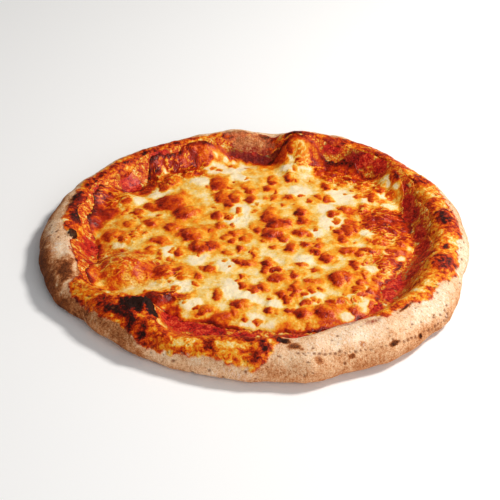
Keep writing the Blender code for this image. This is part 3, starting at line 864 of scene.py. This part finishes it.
def cheese_paint():
    paint = Paint("melted_cheese", Subsurface_Weight=0.12, Subsurface_Radius=(1.0, 0.6, 0.3),
                  Subsurface_Scale=0.0012, Specular_IOR_Level=0.16)
    place = paint.place()
    fine = paint.grain(place, 0.0016, 4.0, 0.3)
    dust = paint.grain(place, 0.0007, 3.0)
    blotch = paint.grain(place, 0.006, 3.0, 0.6)
    toast = paint.attribute("toast") + (fine - 0.5) * 0.36 + (dust - 0.5) * 0.20 + (blotch - 0.5) * 0.22
    thin = paint.attribute("thin")
    colour = paint.ramp(toast, BAKED)
    colour = paint.mix(thin * fine.between(0.40, 0.60) * 0.6, colour, shade(176, 34, 6))
    brown = paint.attribute("brown")
    roughness = 0.42 - 0.18 * blotch
    bubbly = paint.cells(place, 0.0016)
    height = fine * 0.5 + dust * 0.3 + bubbly * brown * 0.8
    return paint.finish(colour, roughness, height, depth=0.0006)


def sauce_paint():
    paint = Paint("tomato_sauce", Specular_IOR_Level=0.25, Coat_Weight=0.04, Coat_Roughness=0.2, IOR=1.4)
    place = paint.place()
    fine = paint.grain(place, 0.0013, 4.0)
    pulp = paint.grain(place, 0.0042, 3.0, 0.5)
    tone = 0.54 + (pulp - 0.5) * 1.2 + (fine - 0.5) * 1.0
    red = paint.ramp(tone, (
        (0.26, shade(104, 6, 2)), (0.44, shade(164, 14, 4)), (0.62, shade(200, 34, 10)),
        (0.82, shade(226, 94, 48)),
    ))
    browned = paint.ramp(0.52 + (pulp - 0.5) * 1.4 + (fine - 0.5) * 0.9, BAKED)
    skin = paint.attribute("skin")
    tinted = paint.mix(fine.between(0.40, 0.60) * 0.5, browned, shade(184, 40, 12))
    colour = paint.mix(skin, red, tinted)
    # Painted shadow on the sauce in the fold under the back rim
    colour = paint.mix(paint.attribute("dark"), colour, shade(84, 8, 2))
    roughness = 0.42 + 0.2 * fine
    return paint.finish(colour, roughness, pulp * 0.7 + fine * 0.5, depth=0.0014)


def dough_paint():
    paint = Paint("dough", Subsurface_Weight=0.10, Subsurface_Radius=(1.0, 0.6, 0.35),
                  Subsurface_Scale=0.001, Specular_IOR_Level=0.12)
    place = paint.place()
    unrolled = paint.attribute("unrolled", output=1)
    streaks = paint.make("ShaderNodeMapping", None, {"Vector": unrolled, "Scale": (1.0, 0.5, 1.0)})
    fine = paint.grain(place, 0.0014, 4.0)
    dust = paint.grain(place, 0.0006, 3.0)
    streak = paint.grain(streaks, 0.0016, 4.0, 0.4)
    blotch = paint.grain(place, 0.009, 4.0, 0.5)
    spots = paint.grain(place, 0.0034, 3.0, 0.4)
    toast, film = paint.attribute("toast"), paint.attribute("film")
    flour, low = paint.attribute("flour"), paint.attribute("low")
    holes, char, smear = paint.attribute("holes"), paint.attribute("char"), paint.attribute("smear")
    bare = 0.29 + (blotch - 0.5) * 0.5 + (streak - 0.5) * 0.3 + (dust - 0.5) * 0.7 + (fine - 0.5) * 0.4
    # Darker towards the foot of the outer side and at the toasted places, both partly painted shade
    bare_colour = paint.ramp(bare + low * 0.18 - flour * 0.14 + toast * 0.75, (
        (0.00, shade(250, 226, 196)), (0.18, shade(240, 203, 165)), (0.34, shade(224, 174, 130)),
        (0.52, shade(190, 121, 72)), (0.70, shade(138, 71, 32)), (0.88, shade(76, 34, 14)),
        (1.00, shade(34, 13, 6)),
    ))
    golden = 0.54 + (blotch - 0.5) * 1.2 + (spots - 0.5) * 0.9 + (fine - 0.5) * 0.5 + (dust - 0.5) * 0.4
    film_colour = paint.ramp(golden + toast * 0.5, BAKED)
    colour = paint.mix(film, bare_colour, film_colour)
    specks = fine.between(0.58, 0.68) * 0.5
    colour = paint.mix(specks * (1 - film), colour, shade(158, 96, 54))
    white = flour * (1 - film) * streak.between(0.52, 0.62) * 0.6
    colour = paint.mix(white, colour, shade(255, 246, 232))
    # The pinholes are painted darker: painted shade inside holes too small for the relief to shade
    colour = paint.mix(holes * 0.85, colour, shade(112, 56, 26))
    # Dark red smears of tomato, with painted shadow under the back rim
    colour = paint.mix(smear * (fine * 1.4 + spots - 0.6), colour, shade(140, 16, 6))
    burnt = (char * 1.2 + fine * 1.2 + spots * 0.8 - 1.35).between(0.0, 0.45)
    soot = paint.mix(dust.between(0.35, 0.65), shade(14, 5, 3), shade(50, 22, 11))
    colour = paint.mix(burnt * 0.94, colour, soot)
    roughness = 0.88 - film * 0.44 + burnt * 0.2
    height = streak * 0.4 + fine * 0.7 + dust * 0.3 + spots * film * 0.6
    return paint.finish(colour, roughness, height, depth=0.0008)


def floor_paint():
    paint = Paint("pale_floor", Roughness=0.8)
    paint.shader.inputs["Base Color"].default_value = (0.96, 0.96, 0.96, 1.0)
    return paint.material


# The studio

CAMERA_TILT = math.radians(33.0)
CAMERA_DISTANCE = 1.10
VIEW_WIDTH = 0.372  # of the frame, where the camera aims
AIM = (-0.0030, -0.0029, 0.0055)
FLOOR_HEIGHT = -0.0004  # a little under the dough, so that the two surfaces don't meet


def set_up_camera():
    camera = bpy.data.objects.new("camera", bpy.data.cameras.new("camera"))
    bpy.context.collection.objects.link(camera)
    camera.data.lens = camera.data.sensor_width * CAMERA_DISTANCE / VIEW_WIDTH
    x, y, z = AIM
    y -= CAMERA_DISTANCE * math.cos(CAMERA_TILT)
    z += CAMERA_DISTANCE * math.sin(CAMERA_TILT)
    camera.location = (x, y, z)
    camera.rotation_euler = (math.pi / 2 - CAMERA_TILT, 0, 0)
    bpy.context.scene.camera = camera


def add_light(name, place, size, power, colour=(1.0, 1.0, 1.0)):
    light = bpy.data.lights.new(name, "AREA")
    light.shape = "DISK"
    light.size = size
    light.energy = power
    light.color = colour
    obj = bpy.data.objects.new(name, light)
    bpy.context.collection.objects.link(obj)
    obj.location = place
    obj.rotation_euler = Vector(place).to_track_quat("Z", "Y").to_euler()


def set_up_studio():
    bpy.ops.object.select_all(action="DESELECT")
    bpy.ops.mesh.primitive_plane_add(size=8.0, location=(0, 0, FLOOR_HEIGHT))
    floor = bpy.context.object
    floor.name = "studio_floor"
    floor.data.materials.append(floor_paint())
    add_light("key_light", (0.88, 0.27, 1.06), size=0.30, power=18.0, colour=(1.0, 0.97, 0.93))
    add_light("fill_light", (0.5, -1.3, 0.7), size=1.2, power=10.5)
    world = bpy.data.worlds.new("studio")
    world.use_nodes = True
    background = world.node_tree.nodes["Background"]
    background.inputs["Color"].default_value = (1.0, 1.0, 1.0, 1.0)
    background.inputs["Strength"].default_value = 0.22
    bpy.context.scene.world = world
    bpy.context.scene.view_settings.view_transform = "Standard"


def place_piece(obj, node, material, shift, box):
    """Moves a finished layer to its place in the frame, keeps it inside this box, and dresses it."""
    points = points_of(obj.data) + shift
    low, high = np.array(box[0]), np.array(box[1])
    move_points(obj.data, np.clip(points, low, high))
    obj.data.materials.append(material)
    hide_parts(node)
    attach(obj, "root")


def main():
    dough, sauce, cheese = make_dough(), make_sauce(), make_cheese()
    points = points_of(dough.data)
    low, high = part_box("dough")
    shift = (np.array(low) + np.array(high)) / 2 - (points.min(axis=0) + points.max(axis=0)) / 2
    shift[2] = low[2] - points[:, 2].min()
    place_piece(dough, "dough", dough_paint(), shift, cad_box)
    place_piece(sauce, "tomato_sauce", sauce_paint(), shift, cad_box)
    place_piece(cheese, "melted_cheese", cheese_paint(), shift, cad_box)
    set_up_studio()
    set_up_camera()


main()
